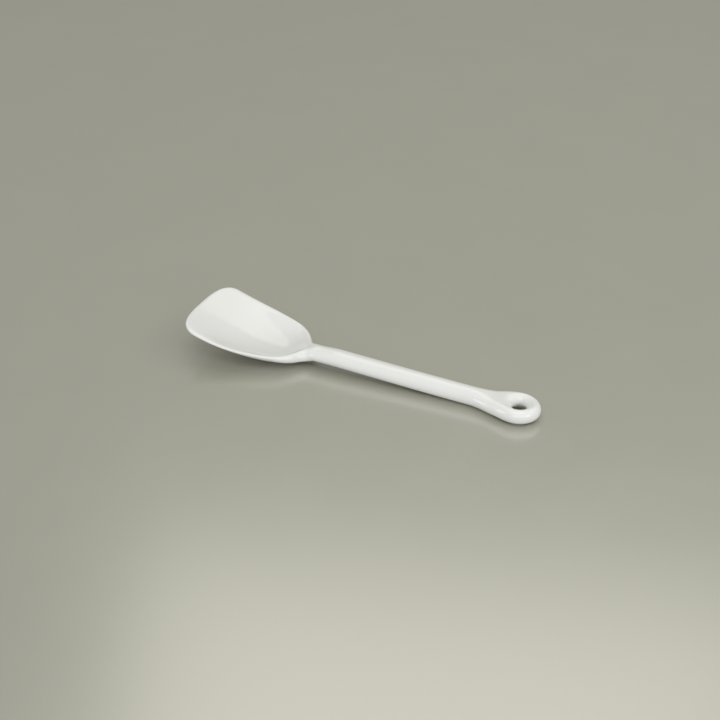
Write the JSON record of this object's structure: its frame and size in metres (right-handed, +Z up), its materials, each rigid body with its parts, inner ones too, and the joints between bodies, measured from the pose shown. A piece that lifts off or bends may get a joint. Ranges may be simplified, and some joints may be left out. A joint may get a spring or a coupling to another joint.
{
  "type": "ice cream spoon",
  "caption": "Ice cream spoon with a broad shovel-shaped bowl, a square front edge, a slim round handle and a flared hanging eye.",
  "frame": {"origin": "centre of the bounding box, on the table that the spoon lies on", "axes": "+X along the spoon towards the hanging eye, +Y across it, +Z up out of the bowl"},
  "size_m": [0.22, 0.0574, 0.0224],
  "materials": {
    "white_melamine": "glossy moulded"
  },
  "bodies": {
    "root": {"bowl": "white_melamine", "neck": "white_melamine", "handle": "white_melamine", "hanging_eye": "white_melamine"}
  },
  "joints": []
}
